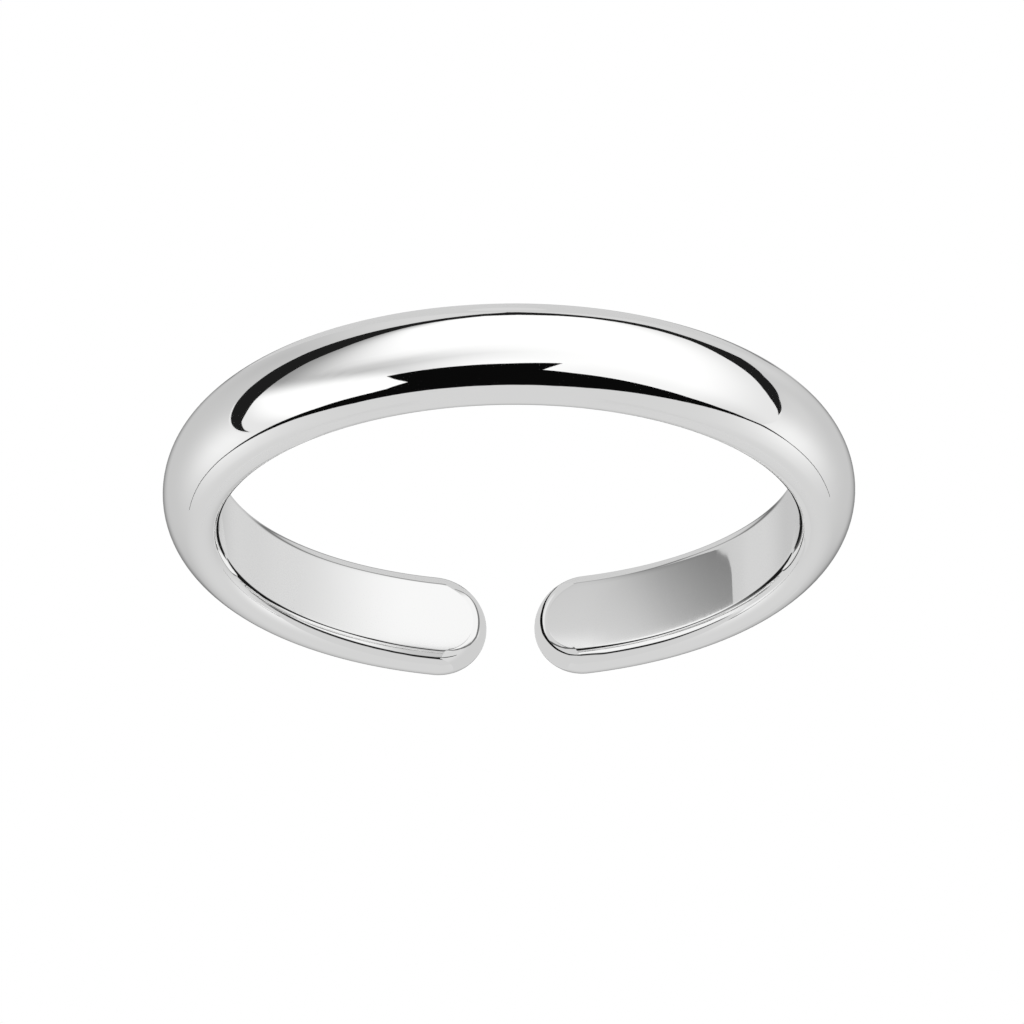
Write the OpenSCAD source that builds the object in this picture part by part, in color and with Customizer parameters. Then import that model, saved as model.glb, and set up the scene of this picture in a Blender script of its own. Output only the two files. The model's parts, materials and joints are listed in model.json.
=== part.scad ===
// Plain open toe ring: a half round silver band bent into a circle, with a gap between two rounded free ends.
// It lies on its side. The ring's axis is Z, the lower rim is at z = 0 and the gap is on the +Y side.

/* [Fit] */
// Inside diameter of the bend
inner_d = 15; // [12:0.1:20]
// Opening between the tips of the two free ends
end_gap = 1.3; // [0.5:0.1:3]

/* [Section] */
// Width of the band, from rim to rim
band_w = 2.74; // [2.2:0.01:4]
// Thickness of the band at the crown of its dome
band_t = 1.46; // [1.25:0.01:2.2]
// Radius of the rounded edges of the inner wall
inner_round = 0.45; // [0.2:0.01:0.5]
// Radius of the shoulders, where the dome runs into the rims
shoulder_round = 0.66; // [0.5:0.01:0.75]

/* [Hidden] */
$fn = 128;

inner_r = inner_d / 2;
half_w = band_w / 2;

// The section is widest where its inner rounding ends. From there on it is a dome, of one wide crown arc
// between two shoulder arcs that run into it: both centres and the meeting point lie on one line.
flat_y = half_w - inner_round;
dome_h = band_t - inner_round;
shoulder_y = half_w - shoulder_round;
crown_round = (pow(shoulder_y, 2) + pow(dome_h, 2) - pow(shoulder_round, 2)) / (2 * (dome_h - shoulder_round));
crown_x = band_t - crown_round;
meet_angle = atan2(shoulder_y, inner_round - crown_x);

// Each free end is the section, turned about an axis that points outwards from the ring's centre.
// The tip lies half a band width past that axis, at the section's widest place.
gap_angle = 90;
tip_r = inner_r + inner_round;
end_angle = atan2(half_w, tip_r) + asin(end_gap / 2 / norm([tip_r, half_w]));

// How far a free end lies inside the bend's surface, and how far the bend reaches into it
end_inset = 0.004;
end_lap = 0.02;
bend_angle = end_angle - atan(end_lap / inner_r);

// The section, with x as the height over the inner wall and y along the ring's axis
module section(inset = 0) {
    inner_side(inset);
    dome(inset);
}

// The flat inner wall between its two rounded edges
module inner_side(inset) {
    translate([inset, -flat_y])
        square([1.5 * inner_round, 2 * flat_y]);
    for (side = [-1, 1])
        translate([inner_round, side * flat_y])
            circle(r = inner_round - inset);
}

// The domed outside, from the widest place of the section to the crown
module dome(inset) {
    intersection() {
        translate([inner_round, -half_w])
            square([dome_h, band_w]);
        union() {
            crown(inset);
            for (side = [-1, 1])
                translate([inner_round, side * shoulder_y])
                    circle(r = shoulder_round - inset);
        }
    }
}

// The slice of the crown's circle that lies between the shoulders
module crown(inset) {
    reach = 2 * crown_round;
    translate([crown_x, 0])
        intersection() {
            circle(r = crown_round - inset);
            polygon([
                [0, 0],
                reach * [cos(meet_angle), -sin(meet_angle)],
                [reach, 0],
                reach * [cos(meet_angle), sin(meet_angle)]
            ]);
        }
}

// The stretch between the free ends: the section, turned about the ring's axis
module bend() {
    rotate(gap_angle + bend_angle)
        rotate_extrude(angle = 360 - 2 * bend_angle)
            translate([inner_r, 0])
                section();
}

// One rounded end: half of the section, given a half turn about the end's own outward axis
module free_end(side) {
    rotate(gap_angle + side * end_angle)
        translate([inner_r, 0, 0])
            rotate([0, 90, 0])
                rotate(side > 0 ? 180 : 0)
                    rotate_extrude(angle = 180)
                        half_section();
}

// The half of a free end's section on one side of its axis, which stands upright here
module half_section() {
    intersection() {
        rotate(90)
            mirror([0, 1])
                section(end_inset);
        square([half_w, band_t]);
    }
}

module band() {
    color("silver")
        translate([0, 0, half_w])
            union() {
                bend();
                free_end(-1);
                free_end(1);
            }
}

band();
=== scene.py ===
import json
from math import asin, atan2, cos, exp, hypot, pi, radians, sin

import bmesh
import bpy
from mathutils import Matrix, Vector


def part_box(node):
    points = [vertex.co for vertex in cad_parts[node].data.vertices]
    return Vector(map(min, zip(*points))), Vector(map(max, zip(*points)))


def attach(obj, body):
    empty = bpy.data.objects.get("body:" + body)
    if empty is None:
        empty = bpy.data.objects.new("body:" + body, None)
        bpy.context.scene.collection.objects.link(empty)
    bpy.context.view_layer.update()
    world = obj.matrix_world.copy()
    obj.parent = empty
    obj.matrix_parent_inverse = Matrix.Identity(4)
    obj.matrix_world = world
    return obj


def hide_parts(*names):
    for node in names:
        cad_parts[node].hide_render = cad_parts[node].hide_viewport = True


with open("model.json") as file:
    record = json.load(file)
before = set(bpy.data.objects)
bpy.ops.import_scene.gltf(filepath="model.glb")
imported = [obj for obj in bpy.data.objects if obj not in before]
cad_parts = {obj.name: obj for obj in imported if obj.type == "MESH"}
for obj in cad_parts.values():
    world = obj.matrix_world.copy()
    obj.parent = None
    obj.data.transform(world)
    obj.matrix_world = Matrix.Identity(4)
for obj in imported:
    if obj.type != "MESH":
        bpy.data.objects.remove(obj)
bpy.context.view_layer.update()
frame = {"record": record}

MM = 0.001

# The ring's sizes, in millimetres. The frame gives the first four.
toe_hole = next(mount for mount in frame["record"]["mounts"] if mount["name"] == "toe_hole")
least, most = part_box("band")
INNER_R = toe_hole["dims"]["r_mm"]
BAND_W = (most.z - least.z) / MM
BAND_T = (most.x - least.x) / MM / 2 - INNER_R
INNER_ROUND = (BAND_W - toe_hole["dims"]["length_mm"]) / 2
SHOULDER_ROUND = 0.66
END_GAP = 1.3

# How finely the arcs are stepped
SECTION_STEP = radians(3)
BEND_STEP = radians(2)
END_STEP = radians(3)

# The photograph's camera: its distance and its height over the ring's plane, the size of a radian in
# pixels, the pixel that shows the ring's centre, and how far the camera is rolled from upside down.
PICTURE = 1024
CAMERA_DISTANCE = 320 * MM
CAMERA_HEIGHT = radians(26.45)
CAMERA_FOCUS = 12370
CENTRE_PIXEL = Vector((508.5, 494.4))
CAMERA_ROLL = radians(0.58)

# How far the tent, the window in it and the window's dark frame stand from the ring, in metres
TENT_AWAY = 4
WINDOW_AWAY = 3.8
FRAME_AWAY = 3.6

# How far the shell that shows in the hole, and the shade before it, stand from the inner wall
SHELL_AWAY = 60
SHADE_AWAY = 59

# The veils' radii, and from how near a ray has to start to see a card in the gap
VEIL_RADII = (8, 8.1)
CARD_REACH = 4.1

# How far above the table, in degrees, the middle of the flat inner wall mirrors, how much this changes per
# millimetre up the wall, and where the wall's edge mirrors
WALL_MIRRORS = -26.45
MIRRORS_PER_MM = 0.98
EDGE_MIRRORS = -25.62

# Brightnesses: the grey of the surroundings, the dark of the window's frame and of the arch over it, and the
# least that the far rim mirrors
SOFT_GREY = 0.66
FRAME_DARK = 0.013
ARCH_DARK = 0.003
DARKEST = 0.01


def new_object(name, bm):
    mesh = bpy.data.meshes.new(name)
    bm.to_mesh(mesh)
    bm.free()
    piece = bpy.data.objects.new(name, mesh)
    bpy.context.scene.collection.objects.link(piece)
    return piece


def turn(bm, geom, centre, axis, angle, step):
    """Spins geom about an axis and returns what the last step made."""
    spun = bmesh.ops.spin(
        bm, geom=geom, cent=centre, axis=axis, angle=angle, steps=max(1, round(abs(angle) / step))
    )
    return spun["geom_last"]


def half_section(bm):
    """Half of the band's outline, from the middle of the inner wall over the rim to the crown."""
    half_w = BAND_W / 2
    flat_z = half_w - INNER_ROUND
    shoulder_z = half_w - SHOULDER_ROUND
    dome_h = BAND_T - INNER_ROUND
    crown_round = (shoulder_z**2 + dome_h**2 - SHOULDER_ROUND**2) / (2 * (dome_h - SHOULDER_ROUND))
    crown_x = BAND_T - crown_round
    meet_angle = atan2(shoulder_z, INNER_ROUND - crown_x)

    edge_x = INNER_R + INNER_ROUND
    tip = [bm.verts.new((INNER_R, 0, 0))]
    for reach in (0.5, 0.9, 0.98, 1):
        tip = bmesh.ops.extrude_vert_indiv(bm, verts=tip)["verts"]
        tip[0].co.z = reach * flat_z
    across = (0, 1, 0)
    tip = turn(bm, tip, (edge_x, 0, flat_z), across, pi / 2, SECTION_STEP)
    tip = turn(bm, tip, (edge_x, 0, shoulder_z), across, pi / 2 - meet_angle, SECTION_STEP)
    turn(bm, tip, (INNER_R + crown_x, 0, 0), across, meet_angle, SECTION_STEP)
    return bm.verts[:] + bm.edges[:]


def end_angle():
    """How far the axis of a free end's rounding stands from the middle of the gap."""
    tip_r = INNER_R + INNER_ROUND
    return atan2(BAND_W / 2, tip_r) + asin(END_GAP / 2 / hypot(tip_r, BAND_W / 2))


def silver_band():
    bm = bmesh.new()
    upper = half_section(bm)
    centre = (0, 0, 0)
    lower = turn(bm, upper, centre, (1, 0, 0), pi, END_STEP)
    bend = 2 * pi - 2 * end_angle()
    last = turn(bm, upper + lower, centre, (0, 0, 1), bend, BEND_STEP)
    last_upper = [part for part in last if min(v.co.z for v in getattr(part, "verts", [part])) > -1e-4]
    turn(bm, last_upper, centre, (cos(bend), sin(bend), 0), -pi, END_STEP)
    place = Matrix.Rotation(pi / 2 + end_angle(), 4, "Z")
    place = Matrix.Translation((0, 0, BAND_W / 2)) @ place
    bmesh.ops.transform(bm, matrix=Matrix.Scale(MM, 4) @ place, verts=bm.verts)
    bmesh.ops.remove_doubles(bm, verts=bm.verts, dist=0.001 * MM)
    bmesh.ops.recalc_face_normals(bm, faces=bm.faces)
    for face in bm.faces:
        face.smooth = True
    return new_object("silver_band", bm)


def polished_silver():
    material = bpy.data.materials.new("polished_silver")
    material.use_nodes = True
    nodes, links = material.node_tree.nodes, material.node_tree.links
    shader = nodes["Principled BSDF"]
    shader.inputs["Metallic"].default_value = 1

    def reckon(operation, first, second):
        """A Math node's result. Each of the two values is a socket or a float."""
        step = nodes.new("ShaderNodeMath")
        step.operation = operation
        for socket, value in zip(step.inputs, (first, second)):
            if isinstance(value, float):
                socket.default_value = value
            else:
                links.new(value, socket)
        return step.outputs["Value"]

    def noise(vector, scale, detail):
        texture = nodes.new("ShaderNodeTexNoise")
        texture.inputs["Scale"].default_value = scale
        texture.inputs["Detail"].default_value = detail
        links.new(vector, texture.inputs["Vector"])
        return texture.outputs["Fac"]

    # Hairlines of the polish run round the band: they change fast across it and slowly along it. The scales
    # of the noises are per metre.
    place = nodes.new("ShaderNodeTexCoord")
    apart = nodes.new("ShaderNodeSeparateXYZ")
    links.new(place.outputs["Object"], apart.inputs["Vector"])
    x, y, z = (apart.outputs[axis] for axis in "XYZ")
    out_squared = reckon("ADD", reckon("MULTIPLY", x, x), reckon("MULTIPLY", y, y))
    along = reckon("MULTIPLY", reckon("ARCTAN2", x, y), 0.4 * MM)
    around = nodes.new("ShaderNodeCombineXYZ")
    links.new(reckon("SQRT", out_squared, 0.0), around.inputs["X"])
    links.new(along, around.inputs["Y"])
    links.new(z, around.inputs["Z"])
    hairlines = noise(around.outputs["Vector"], 9000, 3)
    clouds = noise(place.outputs["Object"], 450, 2)
    both = reckon("ADD", reckon("MULTIPLY", hairlines, 0.4), reckon("MULTIPLY", clouds, 0.6))

    dullness = nodes.new("ShaderNodeMapRange")
    dullness.inputs["To Min"].default_value = 0.015
    dullness.inputs["To Max"].default_value = 0.045
    links.new(both, dullness.inputs["Value"])
    links.new(dullness.outputs["Result"], shader.inputs["Roughness"])

    tint = nodes.new("ShaderNodeMix")
    tint.data_type = "RGBA"
    tint.inputs["A"].default_value = (0.95, 0.95, 0.946, 1)
    tint.inputs["B"].default_value = (0.97, 0.97, 0.968, 1)
    links.new(clouds, tint.inputs["Factor"])
    links.new(tint.outputs["Result"], shader.inputs["Base Color"])

    relief = nodes.new("ShaderNodeBump")
    relief.inputs["Strength"].default_value = 0.5
    relief.inputs["Distance"].default_value = 0.00002 * MM
    links.new(hairlines, relief.inputs["Height"])
    links.new(relief.outputs["Normal"], shader.inputs["Normal"])
    return material


def glow(name, seen_by):
    """A material that shines as brightly as each point's brightness says.

    It is seen by all rays, by rays_from_hole, which have crossed both veils, or by near_rays.
    """
    material = bpy.data.materials.new(name)
    material.use_nodes = True
    material.cycles.emission_sampling = "NONE"
    nodes, links = material.node_tree.nodes, material.node_tree.links
    nodes.remove(nodes["Principled BSDF"])
    brightness = nodes.new("ShaderNodeAttribute")
    brightness.attribute_name = "brightness"
    shine = nodes.new("ShaderNodeEmission")
    links.new(brightness.outputs["Fac"], shine.inputs["Strength"])
    surface = nodes["Material Output"].inputs["Surface"]
    links.new(shine.outputs["Emission"], surface)
    if seen_by != "all":
        path = nodes.new("ShaderNodeLightPath")
        seen = nodes.new("ShaderNodeMath")
        if seen_by == "rays_from_hole":
            seen.operation = "GREATER_THAN"
            seen.inputs[1].default_value = 1.5
            links.new(path.outputs["Transparent Depth"], seen.inputs[0])
        else:
            seen.operation = "LESS_THAN"
            seen.inputs[1].default_value = CARD_REACH * MM
            links.new(path.outputs["Ray Length"], seen.inputs[0])
        clear = nodes.new("ShaderNodeBsdfTransparent")
        either = nodes.new("ShaderNodeMixShader")
        links.new(seen.outputs["Value"], either.inputs["Fac"])
        links.new(clear.outputs["BSDF"], either.inputs[1])
        links.new(shine.outputs["Emission"], either.inputs[2])
        links.new(either.outputs["Shader"], surface)
    return material


def fade(value, start, end):
    """0 at start and 1 at end, with a soft change between them."""
    part = min(max((value - start) / (end - start), 0), 1)
    return part * part * (3 - 2 * part)


def bump(value, middle, reach):
    """1 in the middle, falling softly to nothing past reach."""
    return exp(-(((value - middle) / reach) ** 2))


def only_mirrored(name, bm, place, brightness, seen_by="all"):
    """Makes a piece of the tent. Each point is put in place, and the silver alone sees it."""
    shine = bm.verts.layers.float.new("brightness")
    for vert in bm.verts:
        vert[shine] = brightness(vert.co.x, vert.co.y)
        vert.co = place(vert.co.x, vert.co.y)
    piece = new_object(name, bm)
    piece.data.materials.append(glow(name, seen_by))
    hide_from_camera(piece)


def hide_from_camera(piece):
    piece.visible_camera = False
    piece.visible_diffuse = False
    piece.visible_shadow = False


def sheet(outline, cuts):
    """A flat sheet of many small faces with the given outline."""
    bm = bmesh.new()
    face = bm.faces.new([bm.verts.new((x, y, 0)) for x, y in outline])
    face.normal_update()
    bmesh.ops.triangulate(bm, faces=[face])
    bmesh.ops.subdivide_edges(bm, edges=bm.edges, cuts=cuts, use_grid_fill=True)
    return bm


def far_away(distance):
    """Places a point by degrees round the ring, to the right in the photograph, and above the table."""
    middle = Vector((0, 0, BAND_W / 2 * MM))

    def place(azimuth, height):
        azimuth, height = radians(azimuth), radians(height)
        toward = Vector((-sin(azimuth) * cos(height), -cos(azimuth) * cos(height), sin(height)))
        return middle + toward * distance

    return place


def tent_brightness(azimuth, height):
    back = fade(abs(azimuth), 150, 175)
    ceiling = 0.58 + 0.10 * fade(height, -5, 35) + 0.12 * fade(height, -50, -75)
    dusk = 0.12 * back * bump(height, -8, 16)
    dusk += 0.3 * fade(hypot(0.9 * (180 - abs(azimuth)), height - WALL_MIRRORS), 27, 9)
    glow_beside_window = 0.30 * bump(abs(azimuth), 108, 22) * bump(height, 14, 24)
    low_left = 0.06 * bump(azimuth, -120, 30) * bump(height, -54, 14)
    low_right = 0.09 * bump(azimuth, 126, 22) * bump(height, -50, 12)
    low_right += 0.05 * bump(azimuth, 108, 12) * bump(height, -24, 12)
    return ceiling - dusk + glow_beside_window - low_left + low_right


def window_brightness(azimuth, height):
    frame_edge = -88 + 0.62 * max(-10 - height, 0)
    from_left = 0.3 + 0.7 * fade(azimuth - frame_edge, 0, 20 + 0.9 * max(height + 56, 0))
    under_notch = 1 - 0.3 * bump(azimuth, -33, 35) * bump(height, 6, 11)
    main = from_left * under_notch
    soft_edge = -17 + 0.8 * (azimuth + 85)
    upper_left = fade(height - soft_edge, -8, 12) * fade(azimuth, -34, -40)
    sides = 1 - 0.22 * fade(azimuth, 60, 92) - 0.22 * fade(azimuth, -82, -94)
    under_arch = 0.10 * fade(height, 12, 36) * fade(azimuth, 0, 30)
    return 1.06 * (main + (1 - main) * upper_left) * (sides - under_arch)


def tent():
    """Soft grey all round, a bright window before the ring's dome, its dark frame and an arch over it."""
    whole = [(-180, -90), (180, -90), (180, 90), (-180, 90)]
    only_mirrored("tent", sheet(whole, 47), far_away(TENT_AWAY), tent_brightness)
    window = [
        (-100, 28), (-100, -20), (-94, -30), (-87, -45), (-75, -58), (-60, -70), (-45, -80), (0, -86),
        (60, -85), (95, -77), (106, -60), (102, -45), (97, -30), (97, 27), (90, 32), (75, 42), (60, 48),
        (30, 55), (-10, 58), (-45, 54), (-65, 48), (-80, 43),
    ]
    only_mirrored("window", sheet(window, 15), far_away(WINDOW_AWAY), window_brightness)
    frame_strip = [
        (-99, 25), (-99, -20), (-98, -30), (-95, -41), (-90, -51), (-83, -57), (-74, -63), (-64, -69),
        (-54, -76), (-40, -84), (0, -89), (60, -88), (80, -83), (94, -77), (104, -72), (108, -67),
        (107, -62), (109, -56), (113, -50), (110, -46), (104, -38), (101, -28), (98, -18), (97, -6),
        (96, 3), (95, -3), (92, -13), (91, -21), (91, -32), (90, -46), (92, -57), (89, -64), (82, -70),
        (70, -75), (50, -78), (10, -79.5), (-20, -77.5), (-38, -71), (-50, -64), (-57, -54), (-64, -43),
        (-73, -34), (-80, -23), (-88, -9), (-92, 1), (-95, 7), (-98, 19),
    ]
    arch = [
        (-143, 13.6), (-130, 18.4), (-119, 23.7), (-113, 27.2), (-107, 30.7), (-100, 34.9), (-90, 41),
        (-82, 47), (-72, 53.5), (-60, 57.5), (-46, 61), (-30, 64), (-12, 65.5), (6, 65.5), (25, 64.5),
        (40, 61.5), (53, 56.5), (64, 51.5), (74, 45.5), (83, 38.5), (92, 31.9), (98, 27.6), (104, 24.9),
        (110, 22.4), (125, 16.6), (140, 11.8), (140, 11.4), (125, 16), (110, 21.6), (104, 23.4),
        (98, 25.3), (92, 29.2), (87, 31.2), (81, 34), (70, 37), (57, 38), (43, 38), (24, 37.5),
        (12.5, 35.5), (18, 21.5), (8, 23.5), (0, 25), (-14, 25.5), (-41, 25), (-40, 33), (-38, 42),
        (-44, 44), (-49, 46), (-56, 46), (-65, 44), (-77, 41), (-87, 37), (-97, 32.8), (-107, 28.5),
        (-113, 26), (-119, 22.8), (-130, 17.8), (-143, 13.2),
    ]
    dark_strips = (("window_frame", frame_strip, FRAME_DARK), ("window_arch", arch, ARCH_DARK))
    for name, outline, dark in dark_strips:
        only_mirrored(name, sheet(outline, 7), far_away(FRAME_AWAY), lambda azimuth, height: dark)


def veils():
    """Two clear cylinders close round the ring. Rays that leave through its hole cross both."""
    material = bpy.data.materials.new("veil")
    material.use_nodes = True
    nodes, links = material.node_tree.nodes, material.node_tree.links
    nodes.remove(nodes["Principled BSDF"])
    clear = nodes.new("ShaderNodeBsdfTransparent")
    links.new(clear.outputs["BSDF"], nodes["Material Output"].inputs["Surface"])
    edge = BAND_W / 2 + 0.01
    below = [(-185, -40), (185, -40), (185, -edge), (-185, -edge)]
    above = [(-150, edge), (150, edge), (150, 40), (-150, 40)]
    for radius in VEIL_RADII:
        for outline in (below, above):
            bm = sheet(outline, 31)
            for vert in bm.verts:
                azimuth = radians(vert.co.x)
                place = Vector((-sin(azimuth) * radius, -cos(azimuth) * radius, BAND_W / 2 + vert.co.y))
                vert.co = place * MM
            piece = new_object("veil", bm)
            piece.data.materials.append(material)
            hide_from_camera(piece)


def from_wall(away):
    """Places a point in a direction, away from the spot on the inner wall that mirrors it to the camera."""

    def place(azimuth, height):
        spot = radians(azimuth / 2 + 180)
        start = Vector((-sin(spot) * INNER_R, -cos(spot) * INNER_R, BAND_W / 2)) * MM
        height = radians(height + 0.6 * cos(radians(azimuth / 2)))
        azimuth = radians(azimuth)
        toward = Vector((-sin(azimuth) * cos(height), -cos(azimuth) * cos(height), sin(height)))
        return start + toward * away * MM

    return place


def wall_reflection_tone(azimuth):
    """How bright the flat inner wall looks: a painted reflection, set on the shell that it mirrors. The left
    of the picture mirrors the azimuths over 0.
    """
    if azimuth > 0:
        tone = 0.975 - 0.255 * fade(azimuth, 40, 100)
        return tone - 0.04 * fade(azimuth, 100, 125) - 0.13 * fade(azimuth, 138, 172)
    return 0.675 - 0.105 * fade(-azimuth, 122, 148) - 0.05 * fade(-azimuth, 112, 102)


def wall_brightness(azimuth, height):
    """The flat wall's painted reflection down to the dark line along its other edge, and a plain grey past
    that.
    """
    line = -53 + 12 * fade(azimuth, 60, 105) + 2 * fade(-azimuth, 0, 40) + 15 * fade(-azimuth, 95, 118)
    past_line = fade(line - height, 0, 4)
    tone = wall_reflection_tone(azimuth) * (1 - past_line) + 0.64 * past_line
    return tone * (1 - 0.75 * bump(height, line, 3.5))


def shade_brightness(azimuth, height):
    """The shade on the right of the wall, which is darkest at its far side."""
    up = min(max((height - WALL_MIRRORS) / MIRRORS_PER_MM, -1.2), 1)
    tone = 0.255 + 0.4 * fade(azimuth, -104, -20) + 0.03 * bump(azimuth, -50, 12)
    slope = 0.05 + 0.14 * fade(-azimuth, 30, 65)
    glow_by_end = 0.35 * fade(up, 0.3, 0.9) * fade(azimuth, -46, -26)
    return tone * (1 + slope * up + glow_by_end)


def rim_brightness(azimuth, height):
    """What the far rim mirrors: a dark line from bottom to top, a bright strip and a second dark line."""
    across = abs(azimuth)
    if azimuth > 0:
        bottom = -25.6 + 0.6 * fade(across, 104, 114) + 2.5 * fade(across, 56, 40)
        top = -16.5 - 4.5 * bump(across, 74, 20) + 4.5 * fade(across, 96, 112) + 2 * fade(across, 112, 130)
        line = 32.5 - 0.49 * max(across - 40, 0) - 20 * fade(across, 32, 20)
        reach = 6 - 1.8 * fade(across, 60, 105)
        between = 0.95 - 0.27 * fade(across, 85, 112) - 0.37 * fade(across, 60, 36)
        strength = fade(across, 120, 110)
        first_strength = 1
    else:
        bottom = -25.5 + 6 * bump(across, 65, 38) * fade(across, 25, 50) - 0.3 * fade(across, 100, 120)
        top = -11 - 3 * bump(across, 80, 20)
        line = 28.3 - 12 * fade(across, 40, 26) - 11 * fade(across, 62, 95)
        reach = 5.2 - 3 * fade(across, 60, 92)
        between = 0.95 - 0.27 * fade(across, 85, 112)
        strength = fade(across, 98, 88)
        first_strength = 1 - 0.3 * bump(across, 95, 14)
    strength *= fade(across, 12, 24)
    above = SOFT_GREY + (tent_brightness(azimuth, height) - SOFT_GREY) * fade(across, 110, 135)
    tone = between + (above - between) * fade(height - line, 0, reach + 2)
    first = fade(height, bottom, bottom + 1) * fade(height, top + 1, top - 1) * first_strength
    second = fade(abs(height - line), reach + 1, reach - 1) * strength
    return max(tone * (1 - first) * (1 - second), DARKEST)


def hole_shell():
    """What the inner wall and the far rim mirror: soft greys, two dark lines and a shade on the right."""
    edge = [(-195, -25.76), (-170, -25.73), (-140, -25.68), (-110, EDGE_MIRRORS), (195, EDGE_MIRRORS)]
    rim = edge + [(195, 70), (-195, 70)]
    wall = [(-195, -80), (195, -80)] + edge[::-1]
    shade = [
        (-101, EDGE_MIRRORS), (-100.5, -26.6), (-99.5, -26.9), (-98, -27.15), (-95, -27.3), (-92, -27.5),
        (-90, -30), (-88, -38), (-82, -44), (-72, -48), (-60, -52), (-15, -52), (-15, EDGE_MIRRORS),
    ]
    for name, outline, cuts, away, brightness in (
        ("rim_shell", rim, 95, SHELL_AWAY, rim_brightness),
        ("wall_shell", wall, 63, SHELL_AWAY, wall_brightness),
        ("shade", shade, 15, SHADE_AWAY, shade_brightness),
    ):
        only_mirrored(name, sheet(outline, cuts), from_wall(away), brightness, seen_by="rays_from_hole")


def ribbon(path):
    """A narrow sheet along a path. Each of the path's points has a width."""
    bm = bmesh.new()
    pairs = []
    for number, (x, y, width) in enumerate(path):
        before = path[max(number - 1, 0)]
        after = path[min(number + 1, len(path) - 1)]
        along = Vector((after[0] - before[0], after[1] - before[1], 0)).normalized()
        aside = Vector((-along.y, along.x, 0)) * width / 2
        middle = Vector((x, y, 0))
        pairs.append((bm.verts.new(middle + aside), bm.verts.new(middle - aside)))
    for (a, b), (c, d) in zip(pairs, pairs[1:]):
        bm.faces.new((a, b, d, c))
    bmesh.ops.subdivide_edges(bm, edges=bm.edges, cuts=3, use_grid_fill=True)
    return bm


def left_card_brightness(back, height):
    inside = min(7.3 - back, 0.3 - height)
    light_tip = 0.31 * fade(inside, -0.1, 0.15) * fade(height, -2.6, -2)
    return 0.64 + light_tip + 0.08 * fade(back, 7, 6) * fade(height, 0.3, 0.6)


def right_card_brightness(back, height):
    light_line = 0.25 * bump(7.3 - back, 0.35, 0.2)
    return SOFT_GREY + light_line * fade(height, 0.2, -0.1) * fade(height, -2.6, -1.6)


# The dark lines on the two cards, each with its brightness. A point's numbers are how far back from the
# ring's centre it lies, how far above the middle of the band, and the line's width there.
LEFT_LINES = [
    (0.02, [
        (4.15, 2.95, 0.3), (4.8, 2.45, 0.28), (5.4, 2.02, 0.25), (5.9, 1.68, 0.18), (6.2, 1.45, 0.06),
    ]),
    (0.2, [
        (4.2, -0.3, 0.3), (4.6, -0.15, 0.28), (5.5, 0.32, 0.26), (6.3, 0.52, 0.24), (6.8, 0.48, 0.24),
        (7.12, 0.2, 0.26), (7.22, -0.3, 0.28), (7.35, -0.9, 0.26), (7.5, -1.5, 0.24), (7.45, -2, 0.22),
        (7, -2.5, 0.2), (5.9, -3, 0.18),
    ]),
]
RIGHT_LINES = [
    (0.005, [
        (4.1, 2.35, 0.55), (4.85, 1.95, 0.36), (5.67, 1.62, 0.38), (6.1, 1.25, 0.38), (6.5, 0.9, 0.38),
        (6.9, 0.4, 0.38), (7.17, 0.05, 0.4), (7.35, -0.5, 0.4), (7.5, -1.1, 0.36), (7.8, -1.6, 0.34),
        (8.1, -2.1, 0.34), (8.8, -3.1, 0.34), (10.5, -4.6, 0.4), (12.5, -6, 0.2),
    ]),
    (0.12, [
        (4.2, -0.7, 0.3), (4.6, -0.45, 0.28), (5.3, 0.1, 0.26), (6, 0.34, 0.24), (6.75, 0.42, 0.2),
    ]),
]


def in_gap(across):
    """Places a point on an upright plane in the gap, by its distances back and above the band's middle."""
    return lambda back, height: Vector((across, back, BAND_W / 2 + height)) * MM


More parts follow.
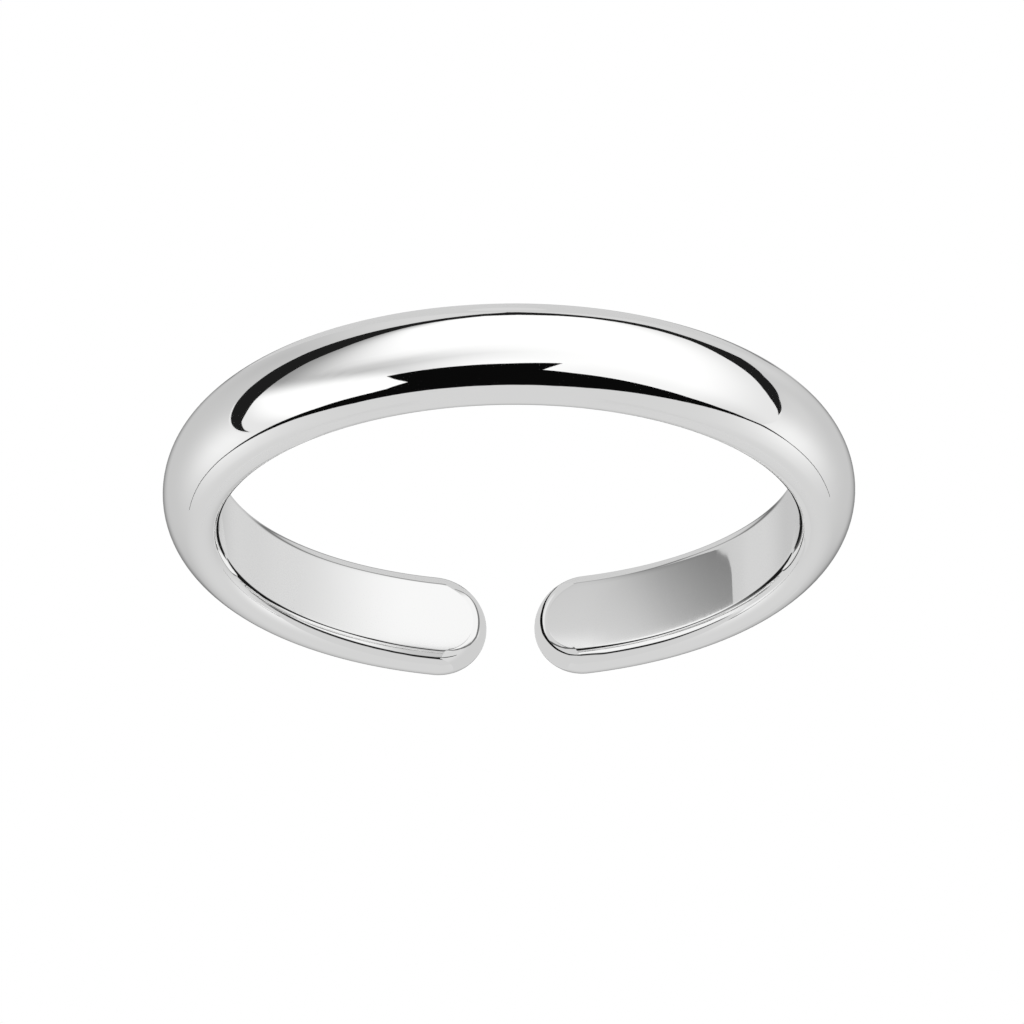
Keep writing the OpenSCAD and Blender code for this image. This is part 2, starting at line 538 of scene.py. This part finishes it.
def gap_cards():
    """Cards in the gap. Each rounded tip mirrors its own, with the dark lines on it."""
    outline = [
        (5.85, -1.5), (5.6, -2.2), (5.3, -3), (5.3, -8), (14, -8), (14, 3.4), (4.2, 3.4), (4.2, -0.6),
        (4.7, -0.45), (5.3, -0.45), (5.65, -0.6), (5.85, -1),
    ]
    sides = ((1, left_card_brightness, LEFT_LINES), (-1, right_card_brightness, RIGHT_LINES))
    for side, brightness, lines in sides:
        only_mirrored("gap_card", sheet(outline, 31), in_gap(side * 0.02), brightness, seen_by="near_rays")
        for tone, line in lines:
            place = in_gap(side * 0.04)
            only_mirrored("gap_line", ribbon(line), place, lambda back, height: tone, seen_by="near_rays")


def table():
    bm = bmesh.new()
    bmesh.ops.create_grid(bm, x_segments=1, y_segments=1, size=20)
    piece = new_object("table", bm)
    material = bpy.data.materials.new("table")
    material.use_nodes = True
    nodes, links = material.node_tree.nodes, material.node_tree.links
    nodes.remove(nodes["Principled BSDF"])
    shine = nodes.new("ShaderNodeEmission")
    shine.inputs["Color"].default_value = (1, 1, 1, 1)
    links.new(shine.outputs["Emission"], nodes["Material Output"].inputs["Surface"])
    material.cycles.emission_sampling = "NONE"
    piece.data.materials.append(material)
    piece.visible_glossy = False
    piece.visible_diffuse = False


def camera():
    back = Vector((0, -cos(CAMERA_HEIGHT), sin(CAMERA_HEIGHT)))
    right = Vector((-1, 0, 0))
    up = back.cross(right)
    rolled = Matrix.Rotation(-CAMERA_ROLL, 3, back)
    right, up = rolled @ right, rolled @ up
    data = bpy.data.cameras.new("camera")
    data.sensor_width = 36
    data.lens = CAMERA_FOCUS * data.sensor_width / PICTURE
    data.clip_start = 0.01
    data.clip_end = 20
    piece = bpy.data.objects.new("camera", data)
    middle_pixel = Vector((PICTURE - 1, PICTURE - 1)) / 2
    off_centre = (CENTRE_PIXEL - middle_pixel) * CAMERA_DISTANCE / CAMERA_FOCUS
    ring_centre = Vector((0, 0, BAND_W / 2 * MM))
    place = ring_centre + back * CAMERA_DISTANCE - right * off_centre.x + up * off_centre.y
    piece.matrix_world = Matrix.Translation(place) @ Matrix((right, up, back)).transposed().to_4x4()
    bpy.context.scene.collection.objects.link(piece)
    bpy.context.scene.camera = piece


camera()
band = silver_band()
band.data.materials.append(polished_silver())
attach(band, "root")
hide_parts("band")
table()
tent()
veils()
hole_shell()
gap_cards()

world = bpy.data.worlds.new("white")
world.use_nodes = True
world.node_tree.nodes["Background"].inputs["Color"].default_value = (1, 1, 1, 1)
bpy.context.scene.world = world
bpy.context.scene.view_settings.view_transform = "Standard"
